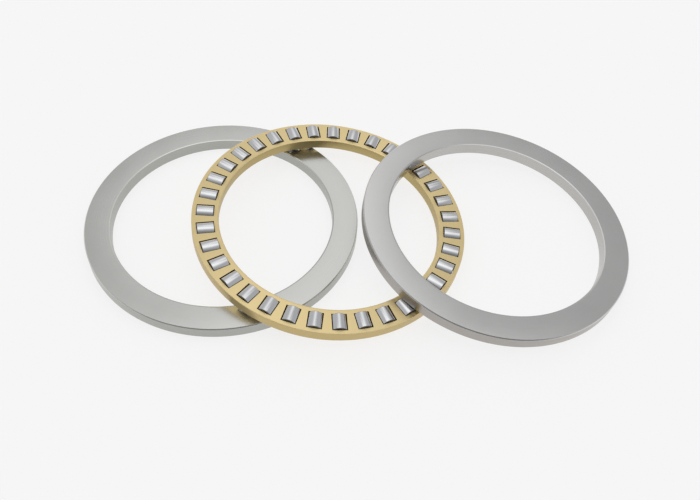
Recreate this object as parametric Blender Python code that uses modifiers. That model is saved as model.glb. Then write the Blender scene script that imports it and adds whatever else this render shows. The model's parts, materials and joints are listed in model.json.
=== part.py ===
"""Cylindrical roller thrust bearing, shown taken apart and fanned out on a bench.

The bearing has a housing washer, a one-piece cage, its rollers and a shaft washer. The housing washer lies flat.
The cage, with its rollers, leans on the housing washer, and the shaft washer leans on the rollers, so each of
the two stands on the bench at its lower side. Each lean is worked out from those points of contact.

Units are metres, +Z is up, and the origin is below the middle of the whole layout.
"""
import math

import bmesh
import bpy
from mathutils import Matrix, Vector

# Washers
OUTER_DIAMETER = 0.200
HOUSING_BORE = 0.1625
SHAFT_BORE = 0.162
WASHER_THICKNESS = 0.0095
WASHER_CHAMFER = 0.0008

# Rollers
ROLLER_COUNT = 35
ROLLER_DIAMETER = 0.012
ROLLER_LENGTH = 0.012
ROLLER_CHAMFER = 0.0005
PITCH_DIAMETER = 0.1810
FIRST_ROLLER_ANGLE = math.radians(0.5)

# Cage. A pocket is a round hole along a roller's axis. It opens through both faces of the thinner cage, where it
# is narrower than the roller, and so it keeps the roller in.
CAGE_BORE = 0.1617
CAGE_THICKNESS = 0.008
CAGE_CHAMFER = 0.0005
POCKET_DIAMETER = 0.0132
POCKET_LENGTH = 0.0130

# Layout on the bench, seen from above. The housing washer's centre is the start of the offsets, and an azimuth is
# the direction in which a leaning piece slopes down.
CAGE_OFFSET = Vector((0.0790, -0.0009))
CAGE_AZIMUTH = 0.0
SHAFT_WASHER_OFFSET = Vector((0.2015, 0.0055))
SHAFT_WASHER_AZIMUTH = math.radians(-5.5)
CONTACT_GAP = 0.0004

# Smoothness of round shapes
RING_SEGMENTS = 105
ROLLER_SEGMENTS = 16
POCKET_SEGMENTS = 24
MERGE_DISTANCE = 0.00001

STEEL_COLOR = (0.56, 0.56, 0.54)
ROLLER_COLOR = (0.66, 0.66, 0.66)
BRASS_COLOR = (0.72, 0.53, 0.22)

# Radii of the flat part of each face, inside its chamfers
WASHER_FACE_RADIUS = OUTER_DIAMETER / 2 - WASHER_CHAMFER
SHAFT_WASHER_INNER_FACE_RADIUS = SHAFT_BORE / 2 + WASHER_CHAMFER
ROLLER_LINE_INNER_RADIUS = PITCH_DIAMETER / 2 - ROLLER_LENGTH / 2 + ROLLER_CHAMFER
ROLLER_LINE_OUTER_RADIUS = PITCH_DIAMETER / 2 + ROLLER_LENGTH / 2 - ROLLER_CHAMFER


def clear_scene():
    """Remove the objects of the startup file."""
    for item in list(bpy.data.objects):
        bpy.data.objects.remove(item)


def make_collection(name):
    """A new collection in the scene."""
    collection = bpy.data.collections.new(name)
    bpy.context.scene.collection.children.link(collection)
    return collection


def make_material(name, color, roughness):
    """A bare metal."""
    material = bpy.data.materials.new(name)
    material.use_nodes = True
    shader = material.node_tree.nodes["Principled BSDF"]
    shader.inputs["Base Color"].default_value = (*color, 1.0)
    shader.inputs["Metallic"].default_value = 1.0
    shader.inputs["Roughness"].default_value = roughness
    return material


def add_object(name, mesh, collection, parent=None, material=None):
    """An object for a mesh. A material on the object itself lets objects share one mesh."""
    item = bpy.data.objects.new(name, mesh)
    collection.objects.link(item)
    item.parent = parent
    if material is not None:
        if not mesh.materials:
            mesh.materials.append(None)
        item.material_slots[0].link = "OBJECT"
        item.material_slots[0].material = material
    return item


def add_axis_empty(name, collection, parent, matrix):
    """An empty that marks the axis of a ring: its Z axis."""
    empty = bpy.data.objects.new(name, None)
    collection.objects.link(empty)
    empty.parent = parent
    empty.matrix_local = matrix
    return empty


def ring_profile_mesh(name, inner_radius, outer_radius, bottom, top, chamfer):
    """The section of a ring with four chamfered corners, run down its outer side first."""
    corners = [
        (outer_radius - chamfer, top),
        (outer_radius, top - chamfer),
        (outer_radius, bottom + chamfer),
        (outer_radius - chamfer, bottom),
        (inner_radius + chamfer, bottom),
        (inner_radius, bottom + chamfer),
        (inner_radius, top - chamfer),
        (inner_radius + chamfer, top),
    ]
    points = [(radius, 0.0, height) for radius, height in corners]
    edges = [(index, (index + 1) % len(points)) for index in range(len(points))]
    mesh = bpy.data.meshes.new(name)
    mesh.from_pydata(points, edges, [])
    return mesh


def turn(item, segments):
    """Turn the profile of an object about its Z axis."""
    screw = item.modifiers.new("turn", "SCREW")
    screw.axis = "Z"
    screw.angle = math.tau
    screw.steps = segments
    screw.render_steps = segments
    screw.use_merge_vertices = True
    screw.merge_threshold = MERGE_DISTANCE
    screw.use_smooth_shade = False


def make_washer(name, bore, collection, parent, material):
    """A flat ring that stands on its local origin."""
    mesh = ring_profile_mesh(name, bore / 2, OUTER_DIAMETER / 2, 0.0, WASHER_THICKNESS, WASHER_CHAMFER)
    washer = add_object(name, mesh, collection, parent, material)
    turn(washer, RING_SEGMENTS)
    return washer


def roller_matrix(index):
    """Place of a roller in the cage: its Z axis points outwards, at its own angle around the ring."""
    angle = FIRST_ROLLER_ANGLE + index * math.tau / ROLLER_COUNT
    outwards = Matrix.Rotation(angle, 4, "Z") @ Matrix.Translation((PITCH_DIAMETER / 2, 0.0, 0.0))
    return outwards @ Matrix.Rotation(math.pi / 2, 4, "Y")


def make_roller_mesh():
    """A short cylinder with a chamfer at each end."""
    shape = bmesh.new()
    bmesh.ops.create_cone(
        shape,
        cap_ends=True,
        segments=ROLLER_SEGMENTS,
        radius1=ROLLER_DIAMETER / 2,
        radius2=ROLLER_DIAMETER / 2,
        depth=ROLLER_LENGTH,
    )
    end_edges = [edge for edge in shape.edges if abs(edge.verts[0].co.z - edge.verts[1].co.z) < MERGE_DISTANCE]
    bmesh.ops.bevel(shape, geom=end_edges, offset=ROLLER_CHAMFER, segments=1, affect="EDGES")
    mesh = bpy.data.meshes.new("roller")
    shape.to_mesh(mesh)
    shape.free()
    mesh.shade_smooth()
    mesh.set_sharp_from_angle(angle=math.radians(30))
    return mesh


def make_pocket_cutter(collection, parent):
    """One mesh that holds the round bar cut out for every pocket."""
    shape = bmesh.new()
    for index in range(ROLLER_COUNT):
        bmesh.ops.create_cone(
            shape,
            cap_ends=True,
            segments=POCKET_SEGMENTS,
            radius1=POCKET_DIAMETER / 2,
            radius2=POCKET_DIAMETER / 2,
            depth=POCKET_LENGTH,
            matrix=roller_matrix(index),
        )
    mesh = bpy.data.meshes.new("pocket_cutter")
    shape.to_mesh(mesh)
    shape.free()
    cutter = add_object("pocket_cutter", mesh, collection, parent)
    cutter.hide_render = True
    cutter.display_type = "WIRE"
    return cutter


def make_cage(collection, cutters, parent, material):
    """A solid ring with a pocket for each roller, centred on its local origin."""
    half = CAGE_THICKNESS / 2
    mesh = ring_profile_mesh("cage", CAGE_BORE / 2, OUTER_DIAMETER / 2, -half, half, CAGE_CHAMFER)
    cage = add_object("cage", mesh, collection, parent, material)
    turn(cage, RING_SEGMENTS)
    cut = cage.modifiers.new("pockets", "BOOLEAN")
    cut.operation = "DIFFERENCE"
    cut.solver = "EXACT"
    cut.object = make_pocket_cutter(cutters, parent)
    return cage


def make_rollers(collection, parent, material):
    """One roller in each pocket. Every roller is its own object, and all share one mesh."""
    mesh = make_roller_mesh()
    for index in range(ROLLER_COUNT):
        roller = add_object(f"roller_{index + 1:02d}", mesh, collection, parent, material)
        roller.matrix_local = roller_matrix(index)


def crossing_points(centre_a, radius_a, centre_b, radius_b):
    """The two points where two circles cross, seen from above."""
    between = centre_b - centre_a
    along = between.normalized()
    across = Vector((-along.y, along.x))
    reach = (radius_a**2 - radius_b**2 + between.length**2) / (2 * between.length)
    half_chord = math.sqrt(radius_a**2 - reach**2)
    middle = centre_a + along * reach
    return [middle - across * half_chord, middle + across * half_chord]


def downhill_direction(azimuth):
    """Unit vector, seen from above, along which a leaning piece slopes down."""
    return Vector((math.cos(azimuth), math.sin(azimuth)))


def lean_slope(centre, azimuth, foot_radius, supports):
    """Slope of a lower face that touches the bench at foot_radius and just clears the supports.

    Each support is a point seen from above and its height.
    """
    downhill = downhill_direction(azimuth)
    slopes = []
    for point, height in supports:
        run = foot_radius - (point - centre).dot(downhill)
        slopes.append((height + CONTACT_GAP) / run)
    return max(slopes)


def lean_matrix(centre, azimuth, foot_radius, slope):
    """Place of a leaning lower face: its centre is the origin and its normal is Z."""
    downhill = downhill_direction(azimuth)
    angle = math.atan(slope)
    hinge_line = Vector((-downhill.y, downhill.x, 0.0))
    height = foot_radius * math.sin(angle)
    return Matrix.Translation((centre.x, centre.y, height)) @ Matrix.Rotation(angle, 4, hinge_line)


def cage_matrix():
    """Place of the cage's middle. Its rollers rest on the edge of the housing washer and on the bench."""
    edge_points = crossing_points(Vector((0.0, 0.0)), WASHER_FACE_RADIUS, CAGE_OFFSET, ROLLER_LINE_INNER_RADIUS)
    supports = [(point, WASHER_THICKNESS) for point in edge_points]
    slope = lean_slope(CAGE_OFFSET, CAGE_AZIMUTH, ROLLER_LINE_OUTER_RADIUS, supports)
    underside = lean_matrix(CAGE_OFFSET, CAGE_AZIMUTH, ROLLER_LINE_OUTER_RADIUS, slope)
    return underside @ Matrix.Translation((0.0, 0.0, ROLLER_DIAMETER / 2))


def roller_top_height(cage_place, point):
    """Height of the plane over the tops of the rollers, at a point seen from above."""
    top = cage_place @ Vector((0.0, 0.0, ROLLER_DIAMETER / 2))
    normal = cage_place.to_3x3() @ Vector((0.0, 0.0, 1.0))
    return top.z - (normal.x * (point.x - top.x) + normal.y * (point.y - top.y)) / normal.z


def shaft_washer_matrix(cage_place):
    """Place of the shaft washer's lower face, which rests on the rollers and on the bench."""
    roller_points = crossing_points(
        CAGE_OFFSET, ROLLER_LINE_OUTER_RADIUS, SHAFT_WASHER_OFFSET, SHAFT_WASHER_INNER_FACE_RADIUS
    )
    supports = [(point, roller_top_height(cage_place, point)) for point in roller_points]
    slope = lean_slope(SHAFT_WASHER_OFFSET, SHAFT_WASHER_AZIMUTH, WASHER_FACE_RADIUS, supports)
    return lean_matrix(SHAFT_WASHER_OFFSET, SHAFT_WASHER_AZIMUTH, WASHER_FACE_RADIUS, slope)


def world_points(items):
    """The corners of every finished mesh, in world space."""
    bpy.context.view_layer.update()
    depsgraph = bpy.context.evaluated_depsgraph_get()
    points = []
    for item in items:
        finished = item.evaluated_get(depsgraph)
        mesh = finished.to_mesh()
        points.extend(finished.matrix_world @ vertex.co for vertex in mesh.vertices)
        finished.to_mesh_clear()
    return points


def centre_over_origin(layout, items):
    """Move the whole layout so that the middle of its underside is the origin."""
    points = world_points(items)
    shift = []
    for axis in range(2):
        values = [point[axis] for point in points]
        shift.append(-(min(values) + max(values)) / 2)
    lowest = min(point.z for point in points)
    layout.location = (shift[0], shift[1], -lowest)


def main():
    clear_scene()
    parts = make_collection("roller_thrust_bearing")
    cutters = make_collection("cutters")
    steel = make_material("ground_steel", STEEL_COLOR, 0.32)
    roller_steel = make_material("roller_steel", ROLLER_COLOR, 0.22)
    brass = make_material("machined_brass", BRASS_COLOR, 0.38)

    layout = add_axis_empty("layout", parts, None, Matrix.Identity(4))
    make_washer("housing_washer", HOUSING_BORE, parts, layout, steel)

    cage_place = cage_matrix()
    cage_axis = add_axis_empty("cage_axis", parts, layout, cage_place)
    make_cage(parts, cutters, cage_axis, brass)
    make_rollers(parts, cage_axis, roller_steel)

    shaft_washer_axis = add_axis_empty("shaft_washer_axis", parts, layout, shaft_washer_matrix(cage_place))
    make_washer("shaft_washer", SHAFT_BORE, parts, shaft_washer_axis, steel)

    solids = [item for item in parts.objects if item.type == "MESH"]
    centre_over_origin(layout, solids)


main()
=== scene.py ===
"""Looks of the cylindrical roller thrust bearing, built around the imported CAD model.

Each CAD node is replaced by a finer mesh of the same size in the same place. Every finer mesh is built about its
own axis, so its object coordinates, which the materials use, turn and travel with it.
"""
import json
import math

import bmesh
import bpy
from mathutils import Matrix, Vector


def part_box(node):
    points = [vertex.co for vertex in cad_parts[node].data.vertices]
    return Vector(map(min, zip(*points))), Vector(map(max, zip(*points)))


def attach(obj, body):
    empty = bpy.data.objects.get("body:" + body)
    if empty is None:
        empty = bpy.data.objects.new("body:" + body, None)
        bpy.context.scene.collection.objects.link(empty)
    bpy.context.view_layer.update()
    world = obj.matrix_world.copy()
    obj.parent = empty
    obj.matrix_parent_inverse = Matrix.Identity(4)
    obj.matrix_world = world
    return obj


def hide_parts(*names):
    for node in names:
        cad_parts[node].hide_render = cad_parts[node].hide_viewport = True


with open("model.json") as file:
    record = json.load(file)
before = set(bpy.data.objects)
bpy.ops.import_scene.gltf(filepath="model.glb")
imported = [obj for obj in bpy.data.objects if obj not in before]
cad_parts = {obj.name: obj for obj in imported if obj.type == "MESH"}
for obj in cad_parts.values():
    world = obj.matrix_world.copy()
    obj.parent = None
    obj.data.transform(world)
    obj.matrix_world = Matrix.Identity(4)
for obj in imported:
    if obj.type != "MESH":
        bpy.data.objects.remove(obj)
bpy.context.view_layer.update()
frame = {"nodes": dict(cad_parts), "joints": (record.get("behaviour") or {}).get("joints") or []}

# Sizes of the pieces, metres
OUTER_RADIUS = 0.100
HOUSING_BORE_RADIUS = 0.08125
SHAFT_BORE_RADIUS = 0.081
WASHER_THICKNESS = 0.0095
CAGE_BORE_RADIUS = 0.08085
CAGE_THICKNESS = 0.008
ROLLER_RADIUS = 0.006
ROLLER_LENGTH = 0.012
POCKET_RADIUS = 0.0066
POCKET_LENGTH = 0.0128

# Edges of the rings: a bevel is its width along the face and its depth down the wall
WASHER_OUTER_BEVEL = (0.0007, 0.0008)
WASHER_INNER_BEVEL = (0.0009, 0.0003)
CAGE_OUTER_BEVEL = (0.0003, 0.0003)
CAGE_INNER_BEVEL = (0.0007, 0.00025)
EDGE_SOFTNESS = 0.0001

# Ends of the rollers: a rounded rim and a shallow recess in the middle
ROLLER_RIM_RADIUS = 0.0004
ROLLER_RECESS_RADIUS = 0.0028
ROLLER_RECESS_SLOPE = 0.0006
ROLLER_RECESS_DEPTH = 0.0003

# Smoothness
RING_SEGMENTS = 256
ROLLER_SEGMENTS = 48
POCKET_SEGMENTS = 64
CORNER_STEPS = 3
ROLLER_RIM_STEPS = 5
ROLLER_SHARP_ANGLE = math.radians(35)
CAGE_SHARP_ANGLE = math.radians(28)

# A face of a ring is a wall when its normal rises less than this, and a face of a roller is its end when it rises
# more along the roller
WALL_RISE = 0.3
ROLLER_END_RISE = 0.25

# Turned metal, metres: how far apart the marks are and how deep
STEEL_MARKS = 0.0004
BRASS_MARKS = 0.0005
POCKET_MARKS = 0.0006
ROLLER_MARKS = 0.0003
RING_MARK_DEPTH = 0.00002
ROLLER_MARK_DEPTH = 0.00001
MARK_SHARE = 0.55
CLOUD_SHARE = 0.45
CLOUD_SCALE = 28.0
NOISE_DETAIL = 3.0
NOISE_SPAN = (0.3, 0.7)

# Camera
CAMERA_FROM_HOUSING_WASHER = Vector((0.09579, -0.35948, 0.42588))
CAMERA_ELEVATION = math.radians(51.07)
CAMERA_ROLL = math.radians(4.48)
SENSOR_WIDTH = 36.0
FOCAL_LENGTH = 38.10

# Sky, as brightness by direction. It is a little brighter on the left, darker on the camera's side, and pale along
# the horizon. A soft bright band stands behind the bearing and opens into a brighter patch overhead. Each span is
# where along a direction's X, Y or Z, or its distance from the band's middle, the brightness changes.
SKY_LEFT = 0.56
SKY_RIGHT = 0.50
LEFT_TO_RIGHT = (-0.40, 0.40)
SKY_FRONT_SHARE = 0.45
FRONT_TO_MIDDLE = (-0.80, -0.35)
SKY_OVERHEAD = 0.56
OVERHEAD_START = (-0.45, 0.0)
BAND_SHARE = 0.84
BAND_MIDDLE = 0.02
BAND_HALF_WIDTH = 0.42
BAND_LOW_END = (0.38, 0.76)
PATCH_FAR_END = (0.20, 0.50)
PATCH_SIDES = (0.38, 0.58)
SKY_HORIZON = 0.915
HORIZON_TOP = (0.07, 0.20)

# Floor and softbox
FLOOR_SIZE = 40.0
FLOOR_DROP = 0.0002
FLOOR_GREY = 0.25
FLOOR_GLOW = 0.765
SOFTBOX_PLACE = (0.0, 0.1, 1.1)
SOFTBOX_SIZE = 0.6
SOFTBOX_POWER = 0.15


# ---------------------------------------------------------------- places

def joint_named(name):
    """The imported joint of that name."""
    return next(joint for joint in frame["joints"] if joint["name"] == name)


def axis_matrix(position, axis, towards):
    """A frame at position whose Z is the axis and whose X points as near as it can to towards."""
    z_axis = Vector(axis).normalized()
    x_axis = (Vector(towards) - z_axis * Vector(towards).dot(z_axis)).normalized()
    y_axis = z_axis.cross(x_axis)
    rotation = Matrix((x_axis, y_axis, z_axis)).transposed().to_4x4()
    return Matrix.Translation(position) @ rotation


def joint_matrix(name, towards=(1.0, 0.0, 0.0)):
    """A frame on a joint's axis."""
    joint = joint_named(name)
    return axis_matrix(joint["pos_m"], joint["axis"], towards)


def housing_matrix():
    """A frame at the middle of the housing washer's underside."""
    low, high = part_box("housing_washer")
    return Matrix.Translation(((low.x + high.x) / 2, (low.y + high.y) / 2, low.z))


def roller_names():
    """The CAD nodes of the rollers."""
    return sorted(name for name in frame["nodes"] if name.startswith("roller_"))


def roller_matrix(node):
    """A frame on a roller's axis, with X along the cage's axis."""
    return joint_matrix(node + "_spin", joint_named("cage_spin")["axis"])


# ---------------------------------------------------------------- meshes

def object_from_bmesh(name, shape, matrix):
    """Turn a finished shape into an object in its place."""
    bmesh.ops.recalc_face_normals(shape, faces=shape.faces)
    mesh = bpy.data.meshes.new(name)
    shape.to_mesh(mesh)
    shape.free()
    item = bpy.data.objects.new(name, mesh)
    bpy.context.scene.collection.objects.link(item)
    item.matrix_world = matrix
    return item


def declare(item, body, node):
    """Hang a piece on its body's empty and hide the CAD node it replaces."""
    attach(item, body)
    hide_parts(node)


def softened(corners):
    """Round every corner of a closed outline with a small arc."""
    points = []
    count = len(corners)
    for index, corner in enumerate(corners):
        here = Vector(corner)
        before = (Vector(corners[index - 1]) - here).normalized()
        after = (Vector(corners[(index + 1) % count]) - here).normalized()
        for step in range(CORNER_STEPS + 1):
            share = step / CORNER_STEPS
            pull = before * (1.0 - share) ** 2 + after * share**2
            points.append(here + pull * EDGE_SOFTNESS)
    return points


def revolved(outline, segments, closed):
    """An outline of (radius, height) points turned about Z. An open one starts and ends with a flat cap."""
    shape = bmesh.new()
    rows = []
    for segment in range(segments):
        angle = math.tau * segment / segments
        row = [shape.verts.new((r * math.cos(angle), r * math.sin(angle), z)) for r, z in outline]
        rows.append(row)
    count = len(outline)
    strips = count if closed else count - 1
    for segment in range(segments):
        row = rows[segment]
        next_row = rows[(segment + 1) % segments]
        for index in range(strips):
            following = (index + 1) % count
            face = shape.faces.new((row[index], row[following], next_row[following], next_row[index]))
            face.smooth = True
    if not closed:
        shape.faces.new([row[0] for row in rows])
        shape.faces.new([row[-1] for row in rows])
    return shape


def ring_outline(inner, outer, bottom, top, inner_bevel, outer_bevel):
    """Section of a ring with bevelled corners, run down its outer side first."""
    outer_width, outer_depth = outer_bevel
    inner_width, inner_depth = inner_bevel
    corners = [
        (outer - outer_width, top),
        (outer, top - outer_depth),
        (outer, bottom + outer_depth),
        (outer - outer_width, bottom),
        (inner + inner_width, bottom),
        (inner, bottom + inner_depth),
        (inner, top - inner_depth),
        (inner + inner_width, top),
    ]
    return softened(corners)


def make_ring(name, outline, matrix, face_material, wall_material, bore_material):
    """A turned ring whose outer wall and bore each take their own material, a darker copy of the faces' as painted
    shade.
    """
    shape = revolved(outline, RING_SEGMENTS, closed=True)
    shape.normal_update()
    for face in shape.faces:
        centre = face.calc_center_median()
        # Walls and bores take the darker copies, which paint shade on them.
        if abs(face.normal.z) < WALL_RISE:
            faces_out = face.normal.xy.dot(centre.xy) > 0
            face.material_index = 1 if faces_out else 2
    ring = object_from_bmesh(name, shape, matrix)
    for material in (face_material, wall_material, bore_material):
        ring.data.materials.append(material)
    return ring


def washer_outline(bore_radius):
    """Section of a washer that stands on its underside."""
    return ring_outline(
        bore_radius, OUTER_RADIUS, 0.0, WASHER_THICKNESS, WASHER_INNER_BEVEL, WASHER_OUTER_BEVEL
    )


def make_housing_washer():
    """The flat ring on the left, which lies on the bench."""
    wall = shaded_housing_wall_steel()
    washer = make_ring(
        "turned_housing_washer",
        washer_outline(HOUSING_BORE_RADIUS),
        housing_matrix(),
        housing_face_steel(),
        wall,
        wall,
    )
    declare(washer, "housing_washer", "housing_washer")


def make_shaft_washer():
    """The flat ring on the right, which leans on the rollers."""
    washer = make_ring(
        "turned_shaft_washer",
        washer_outline(SHAFT_BORE_RADIUS),
        joint_matrix("shaft_washer_spin"),
        shaft_face_steel(),
        shaded_shaft_wall_steel(),
        shaded_shaft_bore_steel(),
    )
    declare(washer, "shaft_washer", "shaft_washer")


def pocket_cutter():
    """All the pockets as round bars, one around each roller."""
    shape = bmesh.new()
    for node in roller_names():
        bmesh.ops.create_cone(
            shape,
            cap_ends=True,
            segments=POCKET_SEGMENTS,
            radius1=POCKET_RADIUS,
            radius2=POCKET_RADIUS,
            depth=POCKET_LENGTH,
            matrix=roller_matrix(node),
        )
    cutter = object_from_bmesh("pocket_cutter", shape, Matrix.Identity(4))
    # The cut pocket walls take a near-black brass, which is painted shade.
    cutter.data.materials.append(shaded_pocket_brass())
    return cutter


def cut_away(item, cutter):
    """Cut one mesh out of another for good, and keep the cutter's material on the cut."""
    cut = item.modifiers.new("pockets", "BOOLEAN")
    cut.operation = "DIFFERENCE"
    cut.solver = "EXACT"
    cut.material_mode = "TRANSFER"
    cut.object = cutter
    bpy.context.view_layer.update()
    depsgraph = bpy.context.evaluated_depsgraph_get()
    finished = bpy.data.meshes.new_from_object(item.evaluated_get(depsgraph))
    item.modifiers.clear()
    item.data = finished
    bpy.data.objects.remove(cutter)


def make_cage():
    """The brass ring with its pockets cut."""
    half = CAGE_THICKNESS / 2
    outline = ring_outline(CAGE_BORE_RADIUS, OUTER_RADIUS, -half, half, CAGE_INNER_BEVEL, CAGE_OUTER_BEVEL)
    cage = make_ring(
        "machined_cage", outline, joint_matrix("cage_spin"), face_brass(), shaded_wall_brass(), shaded_bore_brass()
    )
    cut_away(cage, pocket_cutter())
    cage.data.shade_smooth()
    cage.data.set_sharp_from_angle(angle=CAGE_SHARP_ANGLE)
    declare(cage, "cage", "cage")


def roller_outline():
    """Half section of a roller, from the recess in one end to the recess in the other."""
    half = ROLLER_LENGTH / 2
    end = [
        (ROLLER_RECESS_RADIUS - ROLLER_RECESS_SLOPE, half - ROLLER_RECESS_DEPTH),
        (ROLLER_RECESS_RADIUS, half),
    ]
    for step in range(ROLLER_RIM_STEPS + 1):
        angle = math.pi / 2 * (1 - step / ROLLER_RIM_STEPS)
        radius = ROLLER_RADIUS - ROLLER_RIM_RADIUS + ROLLER_RIM_RADIUS * math.cos(angle)
        height = half - ROLLER_RIM_RADIUS + ROLLER_RIM_RADIUS * math.sin(angle)
        end.append((radius, height))
    return end + [(radius, -height) for radius, height in reversed(end)]


def roller_mesh():
    """One roller about its own Z axis. Its ends are darker than its ground side, as painted shade."""
    shape = revolved(roller_outline(), ROLLER_SEGMENTS, closed=False)
    bmesh.ops.recalc_face_normals(shape, faces=shape.faces)
    for face in shape.faces:
        # The ends take the darkened steel, which is painted shade.
        face.material_index = 1 if abs(face.normal.z) > ROLLER_END_RISE else 0
    mesh = bpy.data.meshes.new("roller_shape")
    shape.to_mesh(mesh)
    shape.free()
    mesh.materials.append(roller_steel())
    mesh.materials.append(shaded_roller_end_steel())
    mesh.set_sharp_from_angle(angle=ROLLER_SHARP_ANGLE)
    return mesh


def make_rollers():
    """Every roller as its own piece, in its place in the cage."""
    mesh = roller_mesh()
    for node in roller_names():
        roller = bpy.data.objects.new("turned_" + node, mesh)
        bpy.context.scene.collection.objects.link(roller)
        roller.matrix_world = roller_matrix(node)
        declare(roller, node, node)


# ---------------------------------------------------------------- nodes

def math_node(tree, operation, first, second=0.0):
    """A Math node; each input is a socket or a number."""
    node = tree.nodes.new("ShaderNodeMath")
    node.operation = operation
    for socket, value in zip(node.inputs, (first, second)):
        if isinstance(value, (int, float)):
            socket.default_value = value
        else:
            tree.links.new(value, socket)
    return node.outputs[0]


def map_range(tree, value, span, low, high, interpolation="LINEAR"):
    """A change from low to high as a value crosses a span."""
    node = tree.nodes.new("ShaderNodeMapRange")
    node.interpolation_type = interpolation
    node.inputs["From Min"].default_value = span[0]
    node.inputs["From Max"].default_value = span[1]
    node.inputs["To Min"].default_value = low
    node.inputs["To Max"].default_value = high
    tree.links.new(value, node.inputs["Value"])
    return node.outputs["Result"]


def smooth_step(tree, value, span, low, high):
    """A change from low to high that starts and ends gently."""
    return map_range(tree, value, span, low, high, "SMOOTHSTEP")


def coordinate(tree, kind):
    """A texture coordinate, whole and as its X, Y and Z."""
    coordinates = tree.nodes.new("ShaderNodeTexCoord")
    split = tree.nodes.new("ShaderNodeSeparateXYZ")
    tree.links.new(coordinates.outputs[kind], split.inputs[0])
    return coordinates.outputs[kind], split.outputs


# ---------------------------------------------------------------- materials

def lathe_coordinate(tree):
    """Distance across the turning marks: it runs over the flat faces and on down the walls of a turned piece."""
    _, axes = coordinate(tree, "Object")
    x_squared = math_node(tree, "MULTIPLY", axes["X"], axes["X"])
    y_squared = math_node(tree, "MULTIPLY", axes["Y"], axes["Y"])
    radius = math_node(tree, "SQRT", math_node(tree, "ADD", x_squared, y_squared))
    return math_node(tree, "SUBTRACT", radius, axes["Z"])


def turning_marks(tree, spacing):
    """Noise across the turning marks."""
    noise = tree.nodes.new("ShaderNodeTexNoise")
    noise.noise_dimensions = "1D"
    noise.inputs["Scale"].default_value = 1.0 / spacing
    noise.inputs["Detail"].default_value = NOISE_DETAIL
    tree.links.new(lathe_coordinate(tree), noise.inputs["W"])
    return noise.outputs["Fac"]


def clouds(tree):
    """Noise over the piece's own space."""
    place, _ = coordinate(tree, "Object")
    noise = tree.nodes.new("ShaderNodeTexNoise")
    noise.inputs["Scale"].default_value = CLOUD_SCALE
    noise.inputs["Detail"].default_value = NOISE_DETAIL
    tree.links.new(place, noise.inputs["Vector"])
    return noise.outputs["Fac"]


def color_between(tree, factor, dark, light):
    """A colour that runs from dark to light over the span that noise covers."""
    ramp = tree.nodes.new("ShaderNodeValToRGB")
    for stop, place, color in zip(ramp.color_ramp.elements, NOISE_SPAN, (dark, light)):
        stop.position = place
        stop.color = (*color, 1.0)
    tree.links.new(factor, ramp.inputs["Fac"])
    return ramp.outputs["Color"]


def add_relief(tree, shader, height, depth):
    """Bump from a height, with its depth in metres."""
    bump = tree.nodes.new("ShaderNodeBump")
    bump.inputs["Strength"].default_value = 1.0
    bump.inputs["Distance"].default_value = depth
    tree.links.new(height, bump.inputs["Height"])
    tree.links.new(bump.outputs["Normal"], shader.inputs["Normal"])


def stretch_across_marks(tree, shader):
    """Stretch the reflection across marks that run around the Z axis, a quarter turn from along them."""
    tangent = tree.nodes.new("ShaderNodeTangent")
    tangent.direction_type = "RADIAL"
    tangent.axis = "Z"
    tree.links.new(tangent.outputs["Tangent"], shader.inputs["Tangent"])
    shader.inputs["Anisotropic Rotation"].default_value = 0.25


def turned_metal(name, dark, light, roughness, anisotropy, mark_spacing, mark_depth=RING_MARK_DEPTH):
    """A lathe-turned metal: fine rings of relief and tone, and a faint cloudiness over them."""
    material = bpy.data.materials.new(name)
    material.use_nodes = True
    tree = material.node_tree
    shader = tree.nodes["Principled BSDF"]
    # The plain colour and roughness are for a reader that doesn't follow the links.
    shader.inputs["Base Color"].default_value = (*light, 1.0)
    shader.inputs["Roughness"].default_value = sum(roughness) / 2
    shader.inputs["Metallic"].default_value = 1.0
    shader.inputs["Anisotropic"].default_value = anisotropy
    marks = turning_marks(tree, mark_spacing)
    mark_tone = math_node(tree, "MULTIPLY", marks, MARK_SHARE)
    cloud_tone = math_node(tree, "MULTIPLY", clouds(tree), CLOUD_SHARE)
    tone = math_node(tree, "ADD", mark_tone, cloud_tone)
    tree.links.new(color_between(tree, tone, dark, light), shader.inputs["Base Color"])
    tree.links.new(map_range(tree, tone, NOISE_SPAN, *roughness), shader.inputs["Roughness"])
    add_relief(tree, shader, marks, mark_depth)
    stretch_across_marks(tree, shader)
    return material


def housing_face_steel():
    """Fine-turned flat faces of the housing washer."""
    return turned_metal(
        "housing_face_steel", (0.61, 0.615, 0.59), (0.68, 0.685, 0.66), (0.21, 0.28), 0.4, STEEL_MARKS
    )


def shaded_housing_wall_steel():
    """Rougher walls of the housing washer, darker than its faces: the darker colour is painted shade."""
    return turned_metal(
        "shaded_housing_wall_steel", (0.40, 0.40, 0.375), (0.46, 0.46, 0.435), (0.26, 0.36), 0.4, STEEL_MARKS
    )


def shaft_face_steel():
    """Smoother flat faces of the shaft washer."""
    return turned_metal(
        "shaft_face_steel", (0.61, 0.605, 0.60), (0.68, 0.675, 0.67), (0.18, 0.25), 0.4, STEEL_MARKS
    )


def shaded_shaft_wall_steel():
    """Rougher outer wall of the shaft washer, darker than its faces: the darker colour is painted shade."""
    return turned_metal(
        "shaded_shaft_wall_steel", (0.39, 0.365, 0.34), (0.46, 0.435, 0.41), (0.26, 0.36), 0.4, STEEL_MARKS
    )


def shaded_shaft_bore_steel():
    """Bore of the shaft washer, brighter than its outer wall and darker than its faces: the darker colour is
    painted shade.
    """
    return turned_metal(
        "shaded_shaft_bore_steel", (0.48, 0.465, 0.45), (0.55, 0.54, 0.525), (0.22, 0.32), 0.4, STEEL_MARKS
    )


def face_brass():
    """Turned flat faces of the cage."""
    return turned_metal(
        "machined_brass", (0.87, 0.695, 0.355), (0.96, 0.79, 0.44), (0.36, 0.46), 0.85, BRASS_MARKS
    )


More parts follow.
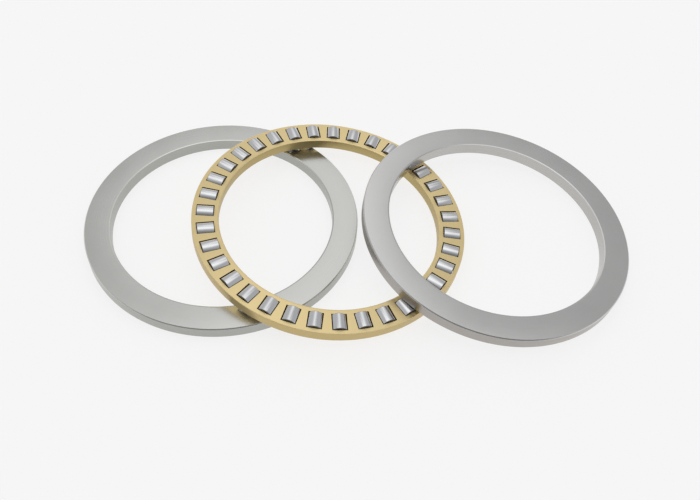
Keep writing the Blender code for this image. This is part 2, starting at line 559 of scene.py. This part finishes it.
def shaded_wall_brass():
    """Outer wall of the cage, darker than its faces: the darker colour is painted shade."""
    return turned_metal(
        "shaded_wall_brass", (0.53, 0.41, 0.19), (0.61, 0.48, 0.235), (0.32, 0.42), 0.4, BRASS_MARKS
    )


def shaded_bore_brass():
    """Bore of the cage, the darkest of its turned sides: the darker colour is painted shade."""
    return turned_metal(
        "shaded_bore_brass", (0.46, 0.36, 0.16), (0.53, 0.42, 0.20), (0.32, 0.42), 0.4, BRASS_MARKS
    )


def shaded_pocket_brass():
    """Walls of the pockets, darkened to near black as painted shade in the gaps around the rollers."""
    return turned_metal(
        "shaded_pocket_brass", (0.05, 0.038, 0.02), (0.07, 0.055, 0.03), (0.5, 0.6), 0.0, POCKET_MARKS
    )


def roller_steel():
    """Ground side of the rollers."""
    return turned_metal(
        "roller_steel", (0.70, 0.705, 0.72), (0.76, 0.765, 0.78), (0.14, 0.19), 0.4,
        ROLLER_MARKS, ROLLER_MARK_DEPTH
    )


def shaded_roller_end_steel():
    """Rougher unground ends of the rollers, darkened as painted shade in the gaps at the ends of the pockets."""
    return turned_metal(
        "shaded_roller_end_steel", (0.16, 0.155, 0.15), (0.22, 0.215, 0.21), (0.35, 0.45), 0.0,
        ROLLER_MARKS, ROLLER_MARK_DEPTH
    )


# ---------------------------------------------------------------- stage

def make_floor():
    """A plain pale floor."""
    shape = bmesh.new()
    bmesh.ops.create_grid(shape, x_segments=1, y_segments=1, size=FLOOR_SIZE / 2)
    floor = object_from_bmesh("floor", shape, Matrix.Translation((0.0, 0.0, -FLOOR_DROP)))
    material = bpy.data.materials.new("pale_floor")
    material.use_nodes = True
    shader = material.node_tree.nodes["Principled BSDF"]
    shader.inputs["Base Color"].default_value = (FLOOR_GREY, FLOOR_GREY, FLOOR_GREY, 1.0)
    shader.inputs["Roughness"].default_value = 1.0
    shader.inputs["Specular IOR Level"].default_value = 0.0
    shader.inputs["Emission Color"].default_value = (1.0, 1.0, 1.0, 1.0)
    shader.inputs["Emission Strength"].default_value = FLOOR_GLOW
    floor.data.materials.append(material)


def bright_sky(tree, direction):
    """The band behind the bearing and the patch overhead."""
    off_middle = math_node(tree, "SUBTRACT", direction["X"], BAND_MIDDLE)
    sideways = math_node(tree, "ABSOLUTE", off_middle)
    band_low_end = smooth_step(tree, direction["Z"], BAND_LOW_END, 0.0, 1.0)
    band_width = smooth_step(tree, sideways, (0.0, BAND_HALF_WIDTH), BAND_SHARE, 0.0)
    band = math_node(tree, "MULTIPLY", band_low_end, band_width)
    patch_far_end = smooth_step(tree, direction["Y"], PATCH_FAR_END, 1.0, 0.0)
    patch_width = smooth_step(tree, sideways, PATCH_SIDES, 1.0, 0.0)
    patch = math_node(tree, "MULTIPLY", patch_far_end, patch_width)
    level = smooth_step(tree, direction["Y"], OVERHEAD_START, 0.0, SKY_OVERHEAD)
    return math_node(tree, "MULTIPLY", level, math_node(tree, "MAXIMUM", band, patch))


def grey_sky(tree, direction):
    """The rest of the sky above the horizon."""
    level = smooth_step(tree, direction["X"], LEFT_TO_RIGHT, SKY_LEFT, SKY_RIGHT)
    front = smooth_step(tree, direction["Y"], FRONT_TO_MIDDLE, SKY_FRONT_SHARE, 1.0)
    return math_node(tree, "MULTIPLY", level, front)


def make_sky():
    """The studio around the bearing, as brightness by direction."""
    world = bpy.data.worlds.new("studio")
    bpy.context.scene.world = world
    world.use_nodes = True
    tree = world.node_tree
    _, direction = coordinate(tree, "Generated")
    sky = math_node(tree, "ADD", grey_sky(tree, direction), bright_sky(tree, direction))
    horizon = smooth_step(tree, direction["Z"], HORIZON_TOP, SKY_HORIZON, 0.0)
    background = tree.nodes["Background"]
    background.inputs["Color"].default_value = (1.0, 1.0, 1.0, 1.0)
    tree.links.new(math_node(tree, "MAXIMUM", sky, horizon), background.inputs["Strength"])


def make_softbox():
    """A weak overhead light that faces down."""
    light = bpy.data.lights.new("overhead_softbox", "AREA")
    light.shape = "SQUARE"
    light.size = SOFTBOX_SIZE
    light.energy = SOFTBOX_POWER
    item = bpy.data.objects.new("overhead_softbox", light)
    bpy.context.scene.collection.objects.link(item)
    item.location = SOFTBOX_PLACE


def make_camera():
    """The camera at the photographed angle, rolled a little."""
    data = bpy.data.cameras.new("camera")
    data.sensor_width = SENSOR_WIDTH
    data.lens = FOCAL_LENGTH
    data.clip_start = 0.01
    camera = bpy.data.objects.new("camera", data)
    bpy.context.scene.collection.objects.link(camera)
    place = Matrix.Translation(housing_matrix().translation + CAMERA_FROM_HOUSING_WASHER)
    tilt = Matrix.Rotation(math.pi / 2 - CAMERA_ELEVATION, 4, "X")
    roll = Matrix.Rotation(CAMERA_ROLL, 4, "Z")
    camera.matrix_world = place @ tilt @ roll
    bpy.context.scene.camera = camera


def main():
    make_camera()
    make_floor()
    make_sky()
    make_softbox()
    make_housing_washer()
    make_shaft_washer()
    make_cage()
    make_rollers()
    bpy.context.scene.view_settings.view_transform = "Standard"


main()
